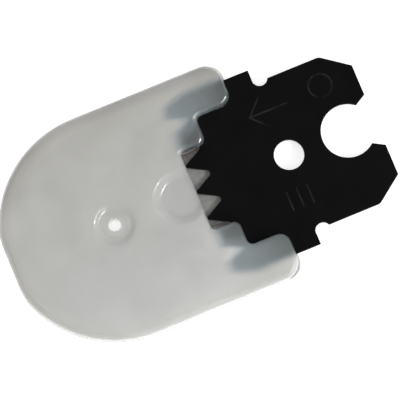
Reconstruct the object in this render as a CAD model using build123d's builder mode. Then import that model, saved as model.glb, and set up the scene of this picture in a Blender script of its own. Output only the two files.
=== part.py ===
"""Algae scraper head: a toothed steel plate pushed into a translucent moulded blade boot.

Millimetres. The origin is on the axis of the plate's locating hole, in the plate's back face.
+X runs along the plate's centreline from the teeth towards the open notch, +Z out of the marked face.
"""
from build123d import *
from math import sin, tan, sqrt, radians
import os

# --- plate ---
plate_thickness = 1.0
blade_width = 50.0            # across the shoulders and the row of teeth
tang_width = 42.2             # the part that goes into a handle's socket
tang_end_x = 24.55
shoulder_x = -1.4             # the step that stops the plate against the socket
tooth_count = 7
tooth_pitch = 7.4
tooth_half_angle = 28.0       # degrees, between a flank and the tooth's centreline
tooth_tip_x = -26.25
tooth_tip_radius = 0.55
tooth_root_radius = 0.95
hole_radius = 4.0
notch_radius = 7.15
notch_x = 16.8
notch_lip_x = 21.4            # where the notch's lips turn outwards
notch_mouth_half = 7.25       # half the width of the notch's mouth at the tang's end
corner_cut_x = 7.35           # the tang's cut-off corners
corner_cut_y = 5.4
corner_radius = 2.0
relief_radius = 2.1           # undercut in each shoulder corner, so that the step seats square
relief_x = 0.65
relief_y = 21.9
rollover = 0.12               # the worn, rounded-over edge of the marked face

# --- marks stamped in the plate ---
mark_depth = 0.12
mark_width = 0.5
ring_x = 14.7
ring_y = 13.9
ring_radius = 3.4
arrow_tail_x = -5.8
arrow_head_x = 4.7
arrow_y = 13.0
arrow_wing = 4.2
bar_x = (-4.5, -1.6, 1.3)     # a row of plain bars on the other side of the hole
bar_y = -11.6
bar_length = 5.6

# --- boot, outline ---
boot_half_width = 30.4
hang_hole_x = -49.45          # also the centre of the round nose
nose_tip_x = -78.75
nose_flat_radius = 14.0       # blends the round nose into its short flat tip
tab_end_x = -8.5
tab_inner_y = 18.4            # inner side of each outer tab
tab_outer_radius = 4.8
tab_inner_radius = 3.0
step_x = -19.0                # the step between an outer tab and the window
step_radius = 2.0
step_root_radius = 1.6
window_half_width = 10.95
window_x = -26.4
window_radius = 1.2

# --- boot, section ---
front_z = 4.3
back_z = -2.3
slot_play = 0.06              # above and below the plate
bond_line = 0.04              # the film of adhesive between the boot's two shells
side_play = 0.12
slot_end_x = -26.4
edge_roll = 1.7               # rolled edge round the front
hem_roll = 0.9                # smaller roll round the back
rim_wall = 5.2                # wall left round the cored-out nose
core_end_x = -36.8
panel_thickness = 2.8
hang_hole_radius = 1.7
hang_lip_radius = 5.45        # the recess round the hang hole: where its sloped wall meets the front
hang_foot_radius = 4.2        # and where it meets the recess's floor
dish_x = -30.9
dish_lip_radius = 7.1
dish_foot_radius = 4.9
wall_slope = 0.72             # both recesses' walls
wall_blend = 0.9              # rounds each wall into the front and into its floor
lip_drop = 0.03               # the lip has fallen away by this where the wall starts
lip_run = 1.0                 # outwards of there it rises, past the front
lip_rise = 0.1
boss_radius = 6.6             # solid ground left round the hang hole

# --- back shell ---
back_end_x = -8.0             # the back reaches a little past the tabs
back_corner_radius = 4.0
back_hole_radius = 2.6        # wider than the hang hole, so that the two shells need not line up exactly
groove_width = 1.25           # a groove runs along the foot of each side of the window
groove_depth = 1.7
groove_end_x = -30.0

# --- worked out ---
blade_half = blade_width / 2
tang_half = tang_width / 2
row_half = tooth_count * tooth_pitch / 2
slope = radians(tooth_half_angle)
tip_sharp_x = tooth_tip_x - tooth_tip_radius * (1 / sin(slope) - 1)
root_sharp_x = tip_sharp_x + tooth_pitch / 2 / tan(slope)
lip_y = sqrt(notch_radius**2 - (notch_lip_x - notch_x) ** 2)
slot_top_z = plate_thickness + slot_play
slot_bottom_z = -slot_play
back_top_z = slot_bottom_z - bond_line
slot_half = blade_half + side_play
core_half_width = boot_half_width - rim_wall
groove_y = window_half_width - groove_width / 2
above_z = front_z + 1         # clear of the front face
near = 0.05                   # how close a vertex must be to the place that names it


def corners_at(sketch, x, half_y):
    """The outline corners that stand at x and at plus or minus half_y."""
    return sketch.vertices().filter_by(lambda v: abs(v.X - x) < near and abs(abs(v.Y) - half_y) < near)


def corners_in_line(sketch, x):
    """The outline corners that stand in one line across the part, at x."""
    return sketch.vertices().filter_by(lambda v: abs(v.X - x) < near)


def saw_points():
    """The row of teeth as sharp corners, from one side of the blade to the other."""
    points = [(root_sharp_x, -row_half)]
    for tooth in range(tooth_count):
        middle = (tooth + 0.5) * tooth_pitch - row_half
        points += [(tip_sharp_x, middle), (root_sharp_x, middle + tooth_pitch / 2)]
    return points


# --- the toothed plate ---
with BuildSketch() as plate_outline:
    with BuildLine():
        Polyline(*saw_points(), (shoulder_x, row_half), (shoulder_x, -row_half), close=True)
    make_face()
    fillet(corners_in_line(plate_outline, tip_sharp_x), radius=tooth_tip_radius)
    fillet(corners_in_line(plate_outline, root_sharp_x).sort_by(Axis.Y)[1:-1], radius=tooth_root_radius)
    with Locations(((tip_sharp_x + shoulder_x) / 2, 0)):
        Rectangle(2 * blade_width, blade_width, mode=Mode.INTERSECT)
    with BuildLine():
        Polyline(
            (shoulder_x - relief_radius, tang_half),
            (tang_end_x - corner_cut_x, tang_half),
            (tang_end_x, tang_half - corner_cut_y),
            (tang_end_x, corner_cut_y - tang_half),
            (tang_end_x - corner_cut_x, -tang_half),
            (shoulder_x - relief_radius, -tang_half),
            close=True,
        )
    make_face()
    fillet(corners_at(plate_outline, tang_end_x - corner_cut_x, tang_half), radius=corner_radius)
    with Locations((relief_x, relief_y), (relief_x, -relief_y)):
        Circle(relief_radius, mode=Mode.SUBTRACT)
    Circle(hole_radius, mode=Mode.SUBTRACT)
    with Locations((notch_x, 0)):
        Circle(notch_radius, mode=Mode.SUBTRACT)
    with BuildLine():
        Polyline(
            (notch_lip_x, lip_y),
            (tang_end_x, notch_mouth_half),
            (tang_end_x, -notch_mouth_half),
            (notch_lip_x, -lip_y),
            close=True,
        )
    make_face(mode=Mode.SUBTRACT)

with BuildPart() as toothed_plate:
    add(plate_outline.sketch)
    extrude(amount=plate_thickness)
    chamfer(toothed_plate.faces().sort_by(Axis.Z)[-1].edges(), length=rollover)
    with BuildSketch(Plane.XY.offset(plate_thickness)) as marks:
        with Locations((ring_x, ring_y)):
            Circle(ring_radius)
            Circle(ring_radius - mark_width, mode=Mode.SUBTRACT)
        with BuildLine() as arrow:
            Line((arrow_tail_x, arrow_y), (arrow_head_x, arrow_y))
            Line((arrow_tail_x, arrow_y), (arrow_tail_x + arrow_wing, arrow_y + arrow_wing))
            Line((arrow_tail_x, arrow_y), (arrow_tail_x + arrow_wing, arrow_y - arrow_wing))
        for stroke in arrow.edges():
            SlotCenterPoint(stroke.center(), stroke.end_point(), mark_width)
        with Locations(*[(x, bar_y) for x in bar_x]):
            SlotOverall(bar_length, mark_width, rotation=90)
    extrude(amount=-mark_depth, mode=Mode.SUBTRACT)
toothed_plate.part.label = "toothed_plate"


# --- the boot ---
with BuildSketch() as boot_outline:
    with BuildLine():
        Polyline(
            (hang_hole_x, boot_half_width),
            (tab_end_x, boot_half_width),
            (tab_end_x, tab_inner_y),
            (step_x, tab_inner_y),
            (step_x, window_half_width),
            (window_x, window_half_width),
            (window_x, -window_half_width),
            (step_x, -window_half_width),
            (step_x, -tab_inner_y),
            (tab_end_x, -tab_inner_y),
            (tab_end_x, -boot_half_width),
            (hang_hole_x, -boot_half_width),
        )
        ThreePointArc(
            (hang_hole_x, -boot_half_width),
            (hang_hole_x - boot_half_width, 0),
            (hang_hole_x, boot_half_width),
        )
    make_face()
    fillet(corners_at(boot_outline, tab_end_x, boot_half_width), radius=tab_outer_radius)
    fillet(corners_at(boot_outline, tab_end_x, tab_inner_y), radius=tab_inner_radius)
    fillet(corners_at(boot_outline, step_x, tab_inner_y), radius=step_root_radius)
    fillet(corners_at(boot_outline, step_x, window_half_width), radius=step_radius)
    fillet(corners_at(boot_outline, window_x, window_half_width), radius=window_radius)
    with Locations((nose_tip_x, 0)):
        Rectangle(-2 * nose_tip_x, 3 * boot_half_width, align=(Align.MIN, Align.CENTER), mode=Mode.INTERSECT)
    fillet(corners_in_line(boot_outline, nose_tip_x), radius=nose_flat_radius)


def recess(x, lip_radius, foot_radius):
    """Cuts a shallow round recess with a sloped, blended wall into the front face at x."""
    lip_z = front_z - lip_drop
    floor_z = lip_z - wall_slope * (lip_radius - foot_radius)
    with BuildSketch(Plane.XZ) as half_section:
        with BuildLine():
            Polyline(
                (x, floor_z),
                (x + foot_radius, floor_z),
                (x + lip_radius, lip_z),
                (x + lip_radius + lip_run, lip_z + lip_rise),
                (x + lip_radius + lip_run, above_z),
                (x, above_z),
                close=True,
            )
        make_face()
        fillet(corners_in_line(half_section, x + foot_radius), radius=wall_blend)
        fillet(corners_in_line(half_section, x + lip_radius), radius=wall_blend)
    revolve(half_section.sketch, axis=Axis((x, 0, 0), (0, 0, 1)), mode=Mode.SUBTRACT)


with BuildPart() as boot_front:
    with BuildSketch(Plane.XY.offset(slot_bottom_z)):
        add(boot_outline.sketch)
    extrude(amount=front_z - slot_bottom_z)
    fillet(boot_front.faces().sort_by(Axis.Z)[-1].edges(), radius=edge_roll)
    # the slot that the blade goes into, open at the mouth
    with BuildSketch(Plane.XY.offset(slot_bottom_z)):
        with Locations((slot_end_x, 0)):
            Rectangle(-slot_end_x, 2 * slot_half, align=(Align.MIN, Align.CENTER))
    extrude(amount=slot_top_z - slot_bottom_z, mode=Mode.SUBTRACT)
    # the cored-out nose, with a boss left round the hang hole
    with BuildSketch(Plane.XY.offset(slot_bottom_z)):
        with Locations((hang_hole_x, 0)):
            Circle(core_half_width)
            Rectangle(
                core_end_x - hang_hole_x, 2 * core_half_width, align=(Align.MIN, Align.CENTER)
            )
        with Locations((core_end_x, 0)):
            Rectangle(
                core_half_width, 2 * core_half_width, align=(Align.MIN, Align.CENTER), mode=Mode.SUBTRACT
            )
        with Locations((hang_hole_x, 0)):
            Circle(boss_radius, mode=Mode.SUBTRACT)
    extrude(amount=front_z - panel_thickness - slot_bottom_z, mode=Mode.SUBTRACT)
    recess(hang_hole_x, hang_lip_radius, hang_foot_radius)
    recess(dish_x, dish_lip_radius, dish_foot_radius)
    with Locations((hang_hole_x, 0, 0)):
        Hole(hang_hole_radius)
boot_front.part.label = "boot_front"

with BuildSketch() as back_outline:
    add(boot_outline.sketch)
    with Locations((window_x - window_radius, 0)):
        Rectangle(
            back_end_x - window_x + window_radius, 2 * boot_half_width, align=(Align.MIN, Align.CENTER)
        )
    fillet(corners_at(back_outline, back_end_x, boot_half_width), radius=back_corner_radius)

with BuildPart() as boot_back:
    with BuildSketch(Plane.XY.offset(back_z)):
        add(back_outline.sketch)
    extrude(amount=back_top_z - back_z)
    fillet(boot_back.faces().sort_by(Axis.Z)[0].edges(), radius=hem_roll)
    with BuildSketch(Plane.XY.offset(back_top_z)):
        with Locations((groove_end_x, groove_y), (groove_end_x, -groove_y)):
            Circle(groove_width / 2)
            Rectangle(-groove_end_x, groove_width, align=(Align.MIN, Align.CENTER))
    extrude(amount=-groove_depth, mode=Mode.SUBTRACT)
    with Locations((hang_hole_x, 0, 0)):
        Hole(back_hole_radius)
boot_back.part.label = "boot_back"

os.makedirs("parts", exist_ok=True)
for piece in (toothed_plate, boot_front, boot_back):
    export_step(piece.part, f"parts/{piece.part.label}.step")
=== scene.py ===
"""The algae scraper head's looks: a black stamped plate in a milky moulded boot, lying on a pale floor."""

from math import atan, cos, radians, sin

import bpy
from mathutils import Matrix, Vector


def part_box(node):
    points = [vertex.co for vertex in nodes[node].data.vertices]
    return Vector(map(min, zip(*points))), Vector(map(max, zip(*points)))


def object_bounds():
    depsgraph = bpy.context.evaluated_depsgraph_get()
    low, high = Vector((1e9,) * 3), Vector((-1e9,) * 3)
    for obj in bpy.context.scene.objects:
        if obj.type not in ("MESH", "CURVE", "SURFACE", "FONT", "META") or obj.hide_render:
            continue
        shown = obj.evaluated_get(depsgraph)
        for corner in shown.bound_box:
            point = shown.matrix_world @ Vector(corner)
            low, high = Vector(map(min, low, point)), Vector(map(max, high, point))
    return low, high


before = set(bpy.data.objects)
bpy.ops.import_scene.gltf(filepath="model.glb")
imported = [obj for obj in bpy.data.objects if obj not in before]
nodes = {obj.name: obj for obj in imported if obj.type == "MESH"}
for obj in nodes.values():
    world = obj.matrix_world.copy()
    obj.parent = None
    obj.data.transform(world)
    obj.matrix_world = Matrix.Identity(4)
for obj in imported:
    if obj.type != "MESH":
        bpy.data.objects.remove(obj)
cad_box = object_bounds()
scene = bpy.context.scene

MM = 0.001

# --- the camera: nearly straight above, with the part turned on the floor ---
TURN = radians(22.5)             # the part's +X, above the picture's horizontal
ELEVATION = radians(82)
CAMERA_DISTANCE = 0.9
CLIP_START = 0.01
VIEW_WIDTH = 105.0 * MM          # what the picture spans at the part
AIM = Vector((-26.25 * MM, -2.15 * MM, 1.0 * MM))

# --- the light, and the floor ---
WORLD_STRENGTH = 0.55
KEY_TOWARDS = (0.93, -0.37, 0.78)
KEY_DISTANCE = 0.7
KEY_SIZE = (0.6, 0.05)           # long and narrow, to draw fine lines of light on the rounded edges
KEY_POWER = 2.8
FLOOR_HALF_SIDE = 3.0
FLOOR_DROP = 0.02 * MM           # keeps the floor off the boot's back
FLOOR_COLOUR = (0.95, 0.95, 0.95)
FLOOR_ROUGHNESS = 0.8
FLOOR_GLOW = 0.65

# --- places on the part that the materials follow ---
PLATE_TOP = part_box("toothed_plate")[1][2]
TAB_END_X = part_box("boot_front")[1][0]
BOOT_HALF_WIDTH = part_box("boot_front")[1][1]
BLADE_HALF_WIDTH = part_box("toothed_plate")[1][1]
BACK_LOW, BACK_TOP = (corner[2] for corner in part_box("boot_back"))
SLOT_END_X = -26.4 * MM          # how deep the blade's slot goes, and where the window starts
HANG_X = -49.45 * MM             # the hang hole, at the centre of the round nose
MARK_Z = (PLATE_TOP - 0.14 * MM, PLATE_TOP - 0.01 * MM)  # takes in the marks, which are 0.12 mm deep
GROOVE_Y = 10.325 * MM           # the two grooves beside the window
GROOVE_WIDTH = 1.25 * MM
GROOVE_MARGIN = 0.02 * MM        # takes in the grooves' walls
GROOVE_END_X = -30.0 * MM
GROOVE_Z = (BACK_LOW + 0.3 * MM, BACK_TOP - 0.05 * MM)   # takes in their floors, not the shell's faces

# --- the plate's black coating: every GRAIN, here and below, is in lumps to the millimetre ---
BLACK = ((0.0030, 0.0031, 0.0033), (0.0045, 0.0046, 0.0048))
BLACK_GRAIN = 0.12
# the marks' floors: rubbed coating, and a painted highlight for the light their edges catch
MARK_WEAR_AND_HIGHLIGHT = ((0.006, 0.006, 0.006), (0.030, 0.030, 0.030))
MARK_WEAR_AND_HIGHLIGHT_GRAIN = 0.5
PLATE_ROUGHNESS = (0.32, 0.42)
PLATE_ROUGH_GRAIN = 1.3
PLATE_SPECULAR = 0.06
PEEL_GRAIN = 3.0
PEEL_STRENGTH = 0.25
PEEL_DEPTH = 0.01 * MM

# --- the plastic that both shells are made of ---
PLASTIC_IOR = 1.45
COAT_ROUGHNESS = 0.08
COAT_IOR = 1.85
GRAIN_STRENGTH = 0.3

# --- the front shell: colours, with ramp stops that run from the +Y side to the -Y side, whose lighter end is painted light ---
BODY_TINT = ((0.0, (0.80, 0.79, 0.73)), (0.25, (0.94, 0.925, 0.87)), (1.0, (0.99, 0.983, 0.93)))
# painted shade along the rounded rim, less of it towards the -Y side
RIM_PAINTED_SHADE = ((0.2, (0.70, 0.69, 0.67)), (1.0, (0.84, 0.84, 0.81)))
# painted shade in the hang hole's recess
HANG_RECESS_SHADE = (0.88, 0.875, 0.855)
# a painted bluish scatter, where the milky front lies over the dark blade
PAINTED_BLUE_SCATTER = (0.81, 0.935, 1.0)
RIM_SHADE_FADE = (0.5 * MM, 4.5 * MM)  # how far inside the rim its painted shade gives way
HANG_SHADE_FADE = (3.3 * MM, 4.0 * MM)     # how far from the hang hole's axis the painted shade in its recess gives way
PAINTED_SIDE_LIGHT = 0.75                      # where on the ramp the -Y side lies: painted light, making that side lighter
PATCHES = 0.6                    # what the noise adds to that, at most
PATCH_GRAIN = 0.08
PATCH_DETAIL = 6.0
TAIL_X = (-24 * MM, -10 * MM)
TAIL = -0.25                     # and what the tabs' ends add

# --- the front shell: how clear it is ---
CLEAR_BODY = 0.625
# the painted side light also makes the -Y side milkier here
CLEAR_BODY_LEAN = -0.24
CLEAR_BODY_TAIL = -0.25
CLEAR_SLOT, CLEAR_MOUTH = 0.865, 1.0
# the painted side light also makes the -Y side milkier over the slot
CLEAR_SLOT_LEAN = -0.06
CLOUDS = 0.065
CLOUD_GRAIN = 0.12
CLOUD_DETAIL = 4.0
# along X and to either side, where the front is thin and clear over the blade
THIN_FADE = (SLOT_END_X - 2 * MM, SLOT_END_X + 2.5 * MM)
THIN_SIDE_FADE = (BLADE_HALF_WIDTH - 1 * MM, BLADE_HALF_WIDTH + 2 * MM)
THIN_LEAN = -0.5 * MM            # the clear part starts nearer the mouth by this at the -Y side
THIN_TAPER = 1.8 * MM            # the clear part narrows by this at its deep end
THIN_TAPER_LENGTH = 8 * MM
THICK_Y = 18.4 * MM              # a thick, milky spot reaches into the clear part on each side
THICK_HALF_WIDTH = 2.6 * MM
THICK_REACH = 4.0 * MM
MOUTH_STEP = (10 * MM, 22 * MM)  # how far aside the mouth turns from the window, and reaches the tabs' ends
CLEAR_STEP = (14 * MM, 22 * MM)
CLEAR_REACH = (6 * MM, 13 * MM)  # how far in from the mouth it grows milkier, at each end of CLEAR_STEP
CLEAR_SHARE = (0.05, 1.0)        # the shares of that reach where it starts to and where it stops
ROUGH_REACH = (0.0, 14 * MM)
ROUGH_FRONT = (0.35, 0.85)       # at the mouth and deep inside
ROUGH_PATCHES = 0.05
ROUGH_GRAIN = 0.5
FRONT_SCATTER = 4 * MM
FRONT_COAT = 1.0
FRONT_GRAIN = 0.25
FRONT_GRAIN_DEPTH = 0.05 * MM

# --- the back shell ---
# the back's dark colour is painted shade, for lying under the plate and the front; its tabs' ends are painted
# lighter, as painted light where they reach out
BACK_PAINTED_SHADE = ((0.31, 0.305, 0.29), (0.40, 0.395, 0.38))
BACK_TAB_PAINTED_LIGHT = (0.62, 0.62, 0.60)
BACK_TAB_LIGHT_FADE = (TAB_END_X - 5 * MM, TAB_END_X - 3 * MM)
# painted shade down the two grooves beside the window
GROOVE_PAINTED_SHADE = ((0.25, 0.215, 0.20), (0.42, 0.38, 0.36))
BACK_SHADE_GRAIN = 0.9
GROOVE_SHADE_GRAIN = 0.8
BACK_CLEAR = 0.15
BACK_ROUGHNESS = (0.7, 0.8)
BACK_SCATTER = 1.5 * MM
BACK_COAT = 0.15
BACK_GRAIN = 2.5
BACK_GRAIN_DEPTH = 0.08 * MM

NOISE_SPAN = (0.3, 0.7)          # where most of a noise pattern's values lie


def turned(right, up, out):
    """A direction given along the picture's right, up and out, in the part's own axes."""
    return Matrix.Rotation(-TURN, 3, "Z") @ Vector((right, up, out))


def add_camera():
    data = bpy.data.cameras.new("camera")
    data.angle = 2 * atan(VIEW_WIDTH / 2 / CAMERA_DISTANCE)
    data.clip_start = CLIP_START
    camera = bpy.data.objects.new("camera", data)
    scene.collection.objects.link(camera)
    back = turned(0, -cos(ELEVATION), sin(ELEVATION))
    up = turned(0, sin(ELEVATION), cos(ELEVATION))
    axes = Matrix((up.cross(back), up, back)).transposed()
    camera.matrix_world = Matrix.Translation(AIM + back * CAMERA_DISTANCE) @ axes.to_4x4()
    scene.camera = camera


def add_key():
    """A narrow soft box that faces the part from the picture's right."""
    data = bpy.data.lights.new("key", "AREA")
    data.shape = "RECTANGLE"
    data.size, data.size_y = KEY_SIZE
    data.energy = KEY_POWER
    light = bpy.data.objects.new("key", data)
    scene.collection.objects.link(light)
    away = turned(*KEY_TOWARDS).normalized()
    light.location = AIM + away * KEY_DISTANCE
    light.rotation_euler = away.to_track_quat("Z", "Y").to_euler()


def add_world():
    """Even white light from all round."""
    world = bpy.data.worlds.new("studio")
    world.use_nodes = True
    background = world.node_tree.nodes["Background"]
    background.inputs["Color"].default_value = (1, 1, 1, 1)
    background.inputs["Strength"].default_value = WORLD_STRENGTH
    scene.world = world


def add_floor():
    low = cad_box[0][2] - FLOOR_DROP
    side = FLOOR_HALF_SIDE
    corners = [(-side, -side, low), (side, -side, low), (side, side, low), (-side, side, low)]
    mesh = bpy.data.meshes.new("floor")
    mesh.from_pydata(corners, [], [(0, 1, 2, 3)])
    floor = bpy.data.objects.new("floor", mesh)
    scene.collection.objects.link(floor)
    floor.data.materials.append(floor_material())


# --- materials: patterns are laid out in the part's own millimetres ---
def new_material(name):
    material = bpy.data.materials.new(name)
    material.use_nodes = True
    tree = material.node_tree
    return material, tree, tree.nodes["Principled BSDF"]


def noise(tree, per_mm, detail=3.0):
    """A noise pattern with about per_mm lumps to the millimetre."""
    place = tree.nodes.new("ShaderNodeTexCoord")
    pattern = tree.nodes.new("ShaderNodeTexNoise")
    pattern.inputs["Scale"].default_value = per_mm / MM
    pattern.inputs["Detail"].default_value = detail
    tree.links.new(place.outputs["Object"], pattern.inputs["Vector"])
    return pattern.outputs["Fac"]


def coordinate(tree, axis):
    """The part's own X, Y or Z."""
    place = tree.nodes.new("ShaderNodeTexCoord")
    split = tree.nodes.new("ShaderNodeSeparateXYZ")
    tree.links.new(place.outputs["Object"], split.inputs["Vector"])
    return split.outputs[axis]


def combine(tree, operation, *values):
    """A math node on its values, each a socket or a number."""
    node = tree.nodes.new("ShaderNodeMath")
    node.operation = operation
    for socket, value in zip(node.inputs, values):
        if isinstance(value, bpy.types.NodeSocket):
            tree.links.new(value, socket)
        else:
            socket.default_value = value
    return node.outputs["Value"]


def within(tree, value, span):
    """1 where a value lies inside a span, 0 elsewhere."""
    low, high = span
    above = combine(tree, "GREATER_THAN", value, low)
    return combine(tree, "MULTIPLY", above, combine(tree, "LESS_THAN", value, high))


def spread(tree, value, source, target, smooth=False):
    """Maps the span source onto the span target, and holds the value at both ends."""
    node = tree.nodes.new("ShaderNodeMapRange")
    node.interpolation_type = "SMOOTHSTEP" if smooth else "LINEAR"
    node.inputs["From Min"].default_value, node.inputs["From Max"].default_value = source
    node.inputs["To Min"].default_value, node.inputs["To Max"].default_value = target
    tree.links.new(value, node.inputs["Value"])
    return node.outputs["Result"]


def tones(tree, value, stops):
    """A colour for each value. Each stop is a position with its colour."""
    ramp = tree.nodes.new("ShaderNodeValToRGB")
    elements = ramp.color_ramp.elements
    while len(elements) < len(stops):
        elements.new(1.0)
    for element, (position, colour) in zip(elements, stops):
        element.position = position
        element.color = (*colour, 1)
    tree.links.new(value, ramp.inputs["Fac"])
    return ramp.outputs["Color"]


def mottled(tree, per_mm, colours):
    """A noise pattern between two colours."""
    return tones(tree, noise(tree, per_mm), tuple(zip(NOISE_SPAN, colours)))


def blend(tree, share, first, second):
    """The first colour turning into the second as share goes from 0 to 1; each is a socket or a colour."""
    node = tree.nodes.new("ShaderNodeMix")
    node.data_type = "RGBA"
    sockets = [socket for socket in node.inputs if socket.enabled]
    tree.links.new(share, sockets[0])
    for socket, colour in zip(sockets[1:], (first, second)):
        if isinstance(colour, bpy.types.NodeSocket):
            tree.links.new(colour, socket)
        else:
            socket.default_value = (*colour, 1)
    return [socket for socket in node.outputs if socket.enabled][0]


def bump(tree, shader, value, strength, depth):
    node = tree.nodes.new("ShaderNodeBump")
    node.inputs["Strength"].default_value = strength
    node.inputs["Distance"].default_value = depth
    tree.links.new(value, node.inputs["Height"])
    tree.links.new(node.outputs["Normal"], shader.inputs["Normal"])


def floor_material():
    material, _, shader = new_material("pale_floor")
    shader.inputs["Base Color"].default_value = (*FLOOR_COLOUR, 1)
    shader.inputs["Roughness"].default_value = FLOOR_ROUGHNESS
    shader.inputs["Specular IOR Level"].default_value = 0.0
    shader.inputs["Emission Color"].default_value = (1, 1, 1, 1)
    shader.inputs["Emission Strength"].default_value = FLOOR_GLOW
    return material


def plate_material():
    """Steel with a satin black coating: a fine orange peel, and marks whose floors are lighter: rubbed
    coating, with a painted highlight for the light their edges catch.
    """
    material, tree, shader = new_material("black_coated_steel")
    black = mottled(tree, BLACK_GRAIN, BLACK)
    # painted highlight in the marks, with rubbed coating
    mark_wear_and_highlight = mottled(tree, MARK_WEAR_AND_HIGHLIGHT_GRAIN, MARK_WEAR_AND_HIGHLIGHT)
    in_mark = within(tree, coordinate(tree, "Z"), MARK_Z)
    tree.links.new(blend(tree, in_mark, black, mark_wear_and_highlight), shader.inputs["Base Color"])
    rough = spread(tree, noise(tree, PLATE_ROUGH_GRAIN), NOISE_SPAN, PLATE_ROUGHNESS)
    tree.links.new(rough, shader.inputs["Roughness"])
    shader.inputs["Specular IOR Level"].default_value = PLATE_SPECULAR
    bump(tree, shader, noise(tree, PEEL_GRAIN), PEEL_STRENGTH, PEEL_DEPTH)
    return material


def milky(shader, tree, coat, scatter, grain, grain_depth):
    """What both shells share: rough see-through plastic that also scatters light inside."""
    shader.inputs["IOR"].default_value = PLASTIC_IOR
    shader.inputs["Subsurface Weight"].default_value = 1.0
    shader.inputs["Subsurface Radius"].default_value = (1.0, 1.0, 1.0)
    shader.inputs["Subsurface Scale"].default_value = scatter
    shader.inputs["Coat Weight"].default_value = coat
    shader.inputs["Coat Roughness"].default_value = COAT_ROUGHNESS
    shader.inputs["Coat IOR"].default_value = COAT_IOR
    bump(tree, shader, noise(tree, grain), GRAIN_STRENGTH, grain_depth)


def from_centreline(tree):
    """How far a point is to either side, in metres."""
    return combine(tree, "ABSOLUTE", coordinate(tree, "Y"))


def length(tree, along, across):
    """The length of a line that goes so far along and so far across."""
    squares = [combine(tree, "MULTIPLY", value, value) for value in (along, across)]
    return combine(tree, "SQRT", combine(tree, "ADD", *squares))


def from_mouth(tree):
    """How far inside the boot's stepped mouth a point is, in metres."""
    mouth = spread(tree, from_centreline(tree), MOUTH_STEP, (SLOT_END_X, TAB_END_X), smooth=True)
    return combine(tree, "SUBTRACT", mouth, coordinate(tree, "X"))


def from_rim(tree):
    """How far inside the boot's long sides and round nose a point is, in metres."""
    past_centre = combine(tree, "SUBTRACT", coordinate(tree, "X"), HANG_X)
    along = combine(tree, "MINIMUM", past_centre, 0.0)
    return combine(tree, "SUBTRACT", BOOT_HALF_WIDTH, length(tree, along, coordinate(tree, "Y")))


def from_hang_hole(tree):
    """How far a point is from the hang hole's axis, in metres."""
    along = combine(tree, "SUBTRACT", coordinate(tree, "X"), HANG_X)
    return length(tree, along, coordinate(tree, "Y"))


def over_blade(tree):
    """1 where the blade lies under the front, fading to 0 beyond its teeth, beside it and at a thick spot."""
    x, aside = coordinate(tree, "X"), from_centreline(tree)
    off_thick = combine(tree, "ABSOLUTE", combine(tree, "SUBTRACT", aside, THICK_Y))
    thick = spread(tree, off_thick, (0.0, THICK_HALF_WIDTH), (-THICK_REACH, 0.0), smooth=True)
    leaning = spread(tree, coordinate(tree, "Y"), (-BLADE_HALF_WIDTH, 0.0), (THIN_LEAN, 0.0))
    along = combine(tree, "ADD", x, combine(tree, "ADD", thick, leaning))
    before = spread(tree, along, THIN_FADE, (0.0, 1.0), smooth=True)
    taper_span = (SLOT_END_X, SLOT_END_X + THIN_TAPER_LENGTH)
    taper = spread(tree, x, taper_span, (THIN_TAPER, 0.0), smooth=True)
    tapered = combine(tree, "ADD", aside, taper)
    beside = spread(tree, tapered, THIN_SIDE_FADE, (1.0, 0.0), smooth=True)
    return combine(tree, "MULTIPLY", before, beside)


def front_colour(tree, thin, side_light, tail):
    """Patchy and warm, with painted shade along its rim and in the hang hole's recess, its -Y side painted
    lighter as painted light, darker at its tabs' ends, and a painted bluish scatter over the blade.
    """
    side_light_and_tail = combine(tree, "ADD", side_light, tail)
    patchy_and_side_lit = combine(tree, "MULTIPLY_ADD", noise(tree, PATCH_GRAIN, PATCH_DETAIL), PATCHES, side_light_and_tail)
    # painted shade in the hang hole's recess
    hang_shade = spread(tree, from_hang_hole(tree), HANG_SHADE_FADE, (1.0, 0.0), smooth=True)
    body = blend(tree, hang_shade, tones(tree, patchy_and_side_lit, BODY_TINT), HANG_RECESS_SHADE)
    # painted shade darkens the rim
    inside_rim = spread(tree, from_rim(tree), RIM_SHADE_FADE, (0.0, 1.0), smooth=True)
    # over the blade the colour turns to a painted bluish scatter
    return blend(tree, inside_rim, tones(tree, patchy_and_side_lit, RIM_PAINTED_SHADE), blend(tree, thin, body, PAINTED_BLUE_SCATTER))


def front_clearness(tree, thin, side_light, tail, depth):
    """Cloudy and milky over the nose, clearer over the blade, and clearest at the mouth."""
    reach = spread(tree, from_centreline(tree), CLEAR_STEP, CLEAR_REACH)
    share = combine(tree, "DIVIDE", depth, reach)
    at_depth = spread(tree, share, CLEAR_SHARE, (CLEAR_MOUTH, CLEAR_SLOT))
    slot = combine(tree, "MULTIPLY_ADD", side_light, CLEAR_SLOT_LEAN, at_depth)
    cloudy = spread(tree, noise(tree, CLOUD_GRAIN, CLOUD_DETAIL), NOISE_SPAN, (-CLOUDS, CLOUDS))
    along = combine(tree, "MULTIPLY_ADD", tail, CLEAR_BODY_TAIL, CLEAR_BODY)
    body = combine(tree, "MULTIPLY_ADD", side_light, CLEAR_BODY_LEAN, combine(tree, "ADD", cloudy, along))
    extra = combine(tree, "MULTIPLY", thin, combine(tree, "SUBTRACT", slot, body))
    return combine(tree, "ADD", extra, body)


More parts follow.
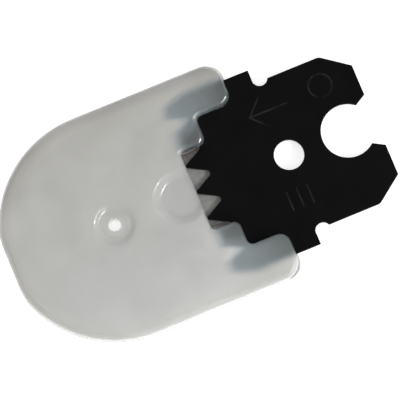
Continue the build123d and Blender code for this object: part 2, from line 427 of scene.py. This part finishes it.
def front_plastic():
    """The glossier front. It is milky where it is thick, and clears over the blade and towards the mouth."""
    material, tree, shader = new_material("milky_front")
    thin, depth = over_blade(tree), from_mouth(tree)
    # painted light: the -Y side is made lighter and milkier
    side_light = spread(tree, coordinate(tree, "Y"), (-BOOT_HALF_WIDTH, BOOT_HALF_WIDTH), (PAINTED_SIDE_LIGHT, 0.0))
    tail = spread(tree, coordinate(tree, "X"), TAIL_X, (0.0, TAIL), smooth=True)
    tree.links.new(front_colour(tree, thin, side_light, tail), shader.inputs["Base Color"])
    tree.links.new(front_clearness(tree, thin, side_light, tail, depth), shader.inputs["Transmission Weight"])
    uneven = combine(tree, "MULTIPLY_ADD", noise(tree, ROUGH_GRAIN), 2 * ROUGH_PATCHES, -ROUGH_PATCHES)
    haze = spread(tree, depth, ROUGH_REACH, ROUGH_FRONT)
    tree.links.new(combine(tree, "ADD", haze, uneven), shader.inputs["Roughness"])
    milky(shader, tree, FRONT_COAT, FRONT_SCATTER, FRONT_GRAIN, FRONT_GRAIN_DEPTH)
    return material


def in_grooves(tree):
    """1 down the two grooves beside the window, 0 elsewhere."""
    off_line = combine(tree, "ABSOLUTE", combine(tree, "SUBTRACT", from_centreline(tree), GROOVE_Y))
    beside = combine(tree, "LESS_THAN", off_line, GROOVE_WIDTH / 2 + GROOVE_MARGIN)
    along = combine(tree, "GREATER_THAN", coordinate(tree, "X"), GROOVE_END_X - GROOVE_WIDTH)
    at_height = within(tree, coordinate(tree, "Z"), GROOVE_Z)
    return combine(tree, "MULTIPLY", beside, combine(tree, "MULTIPLY", along, at_height))


def back_plastic():
    """The rougher back, its colour a painted shade that turns to a lighter painted light at the tabs' ends,
    with darker painted shade down the two grooves beside the window.
    """
    material, tree, shader = new_material("milky_back")
    at_tab_end = spread(tree, coordinate(tree, "X"), BACK_TAB_LIGHT_FADE, (0.0, 1.0))
    # painted shade over the back, turning to painted light at the tabs' ends
    body = blend(tree, at_tab_end, mottled(tree, BACK_SHADE_GRAIN, BACK_PAINTED_SHADE), BACK_TAB_PAINTED_LIGHT)
    # painted shade down the two grooves, which are dark gaps
    groove_shade = in_grooves(tree)
    colour = blend(tree, groove_shade, body, mottled(tree, GROOVE_SHADE_GRAIN, GROOVE_PAINTED_SHADE))
    tree.links.new(colour, shader.inputs["Base Color"])
    tree.links.new(spread(tree, groove_shade, (0.0, 1.0), (BACK_CLEAR, 0.0)), shader.inputs["Transmission Weight"])
    rough = spread(tree, noise(tree, ROUGH_GRAIN), NOISE_SPAN, BACK_ROUGHNESS)
    tree.links.new(rough, shader.inputs["Roughness"])
    milky(shader, tree, BACK_COAT, BACK_SCATTER, BACK_GRAIN, BACK_GRAIN_DEPTH)
    return material


def wear(node, material):
    nodes[node].data.materials.clear()
    nodes[node].data.materials.append(material)


add_camera()
add_floor()
add_world()
add_key()

wear("toothed_plate", plate_material())
wear("boot_front", front_plastic())
wear("boot_back", back_plastic())

scene.view_settings.view_transform = "Standard"
